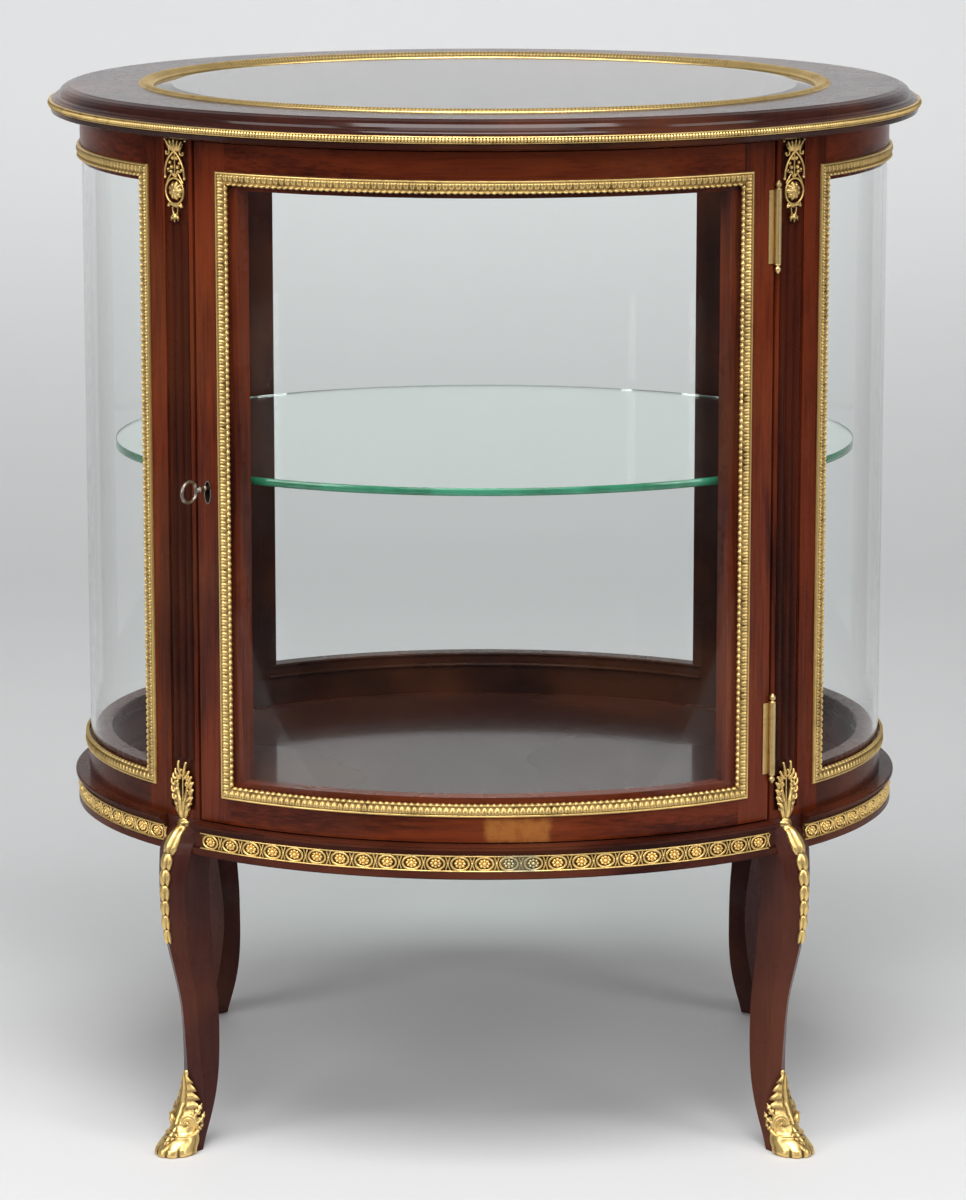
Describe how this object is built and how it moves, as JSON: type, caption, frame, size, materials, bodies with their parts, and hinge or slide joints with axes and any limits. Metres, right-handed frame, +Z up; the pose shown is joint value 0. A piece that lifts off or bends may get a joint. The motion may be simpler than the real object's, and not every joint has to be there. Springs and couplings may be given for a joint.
{
  "type": "oval collectors display table",
  "caption": "Oval display cabinet on cabriole legs, with bent glass walls, a glazed door with key, a glass shelf and a glazed top.",
  "frame": {"origin": "centre of the oval on the floor, under the feet", "axes": "+X along the oval's length, -Y out of the door, +Z up"},
  "size_m": [0.8, 0.64, 0.957],
  "materials": {
    "mahogany": "french polished",
    "dark_mahogany": "french polished",
    "gilt_bronze": "fire gilt and burnished",
    "aged_brass": "aged",
    "steel": "worn",
    "bent_glass": "clear",
    "shelf_glass": "clear, polished edge",
    "top_glass": "clear, bevelled"
  },
  "bodies": {
    "case": {"apron_front": "mahogany", "apron_left": "mahogany", "apron_rear": "mahogany", "apron_right": "mahogany", "bead_left": "gilt_bronze", "bead_right": "gilt_bronze", "cap_mounts": "gilt_bronze", "door_header": "mahogany", "floor_board": "dark_mahogany", "frieze_front": "gilt_bronze", "frieze_left": "gilt_bronze", "frieze_rear": "gilt_bronze", "frieze_right": "gilt_bronze", "glass_left": "bent_glass", "glass_right": "bent_glass", "hinge_leaves_post": "aged_brass", "hinge_pins": "aged_brass", "hinge_screws_post": "aged_brass", "knee_mounts": "gilt_bronze", "leg_front_left": "dark_mahogany", "leg_front_right": "dark_mahogany", "leg_rear_left": "dark_mahogany", "leg_rear_right": "dark_mahogany", "post_front_left": "mahogany", "post_front_right": "mahogany", "post_rear_left": "mahogany", "post_rear_right": "mahogany", "rail_foot_left": "mahogany", "rail_foot_right": "mahogany", "rail_top_left": "mahogany", "rail_top_right": "mahogany", "rear_bead": "gilt_bronze", "rear_glass": "bent_glass", "rear_rail_foot": "mahogany", "rear_rail_top": "mahogany", "rear_stile_left": "mahogany", "rear_stile_right": "mahogany", "sabot_front_left": "gilt_bronze", "sabot_front_right": "gilt_bronze", "sabot_rear_left": "gilt_bronze", "sabot_rear_right": "gilt_bronze", "shelf_pegs": "aged_brass", "top_edge_bead": "gilt_bronze", "top_frame": "mahogany", "top_glass": "top_glass", "top_glass_ring": "gilt_bronze"},
    "door": {"door_bead": "gilt_bronze", "door_glass": "bent_glass", "door_rail_foot": "mahogany", "door_rail_top": "mahogany", "door_stile_left": "mahogany", "door_stile_right": "mahogany", "escutcheon": "steel", "hinge_leaves_door": "aged_brass", "hinge_screws_door": "aged_brass", "lock_case": "steel"},
    "key": {"key": "steel"},
    "bolt": {"lock_bolt": "steel"},
    "shelf": {"shelf_glass": "shelf_glass"}
  },
  "joints": [
    {"name": "door_hinge", "type": "hinge", "parent": "case", "child": "door", "pos_m": [0.25701, -0.21408, 0.6], "axis": [0, 0, 1], "range_deg": [0, 110]},
    {"name": "key_turn", "type": "hinge", "parent": "door", "child": "key", "pos_m": [-0.24437, -0.21895, 0.618], "axis": [-0.5678, -0.8231, 0], "range_deg": [0, 180]},
    {"name": "bolt_throw", "type": "slide", "parent": "door", "child": "bolt", "axis": [-0.8231, 0.5678, 0], "range_m": [0, 0.008]},
    {"name": "shelf_lift", "type": "slide", "parent": "case", "child": "shelf", "axis": [0, 0, 1], "range_m": [0, 0.05]}
  ],
  "couplings": [
    {"joint": "key_turn", "follows": "bolt_throw", "rad_per_m": 392.6}
  ]
}
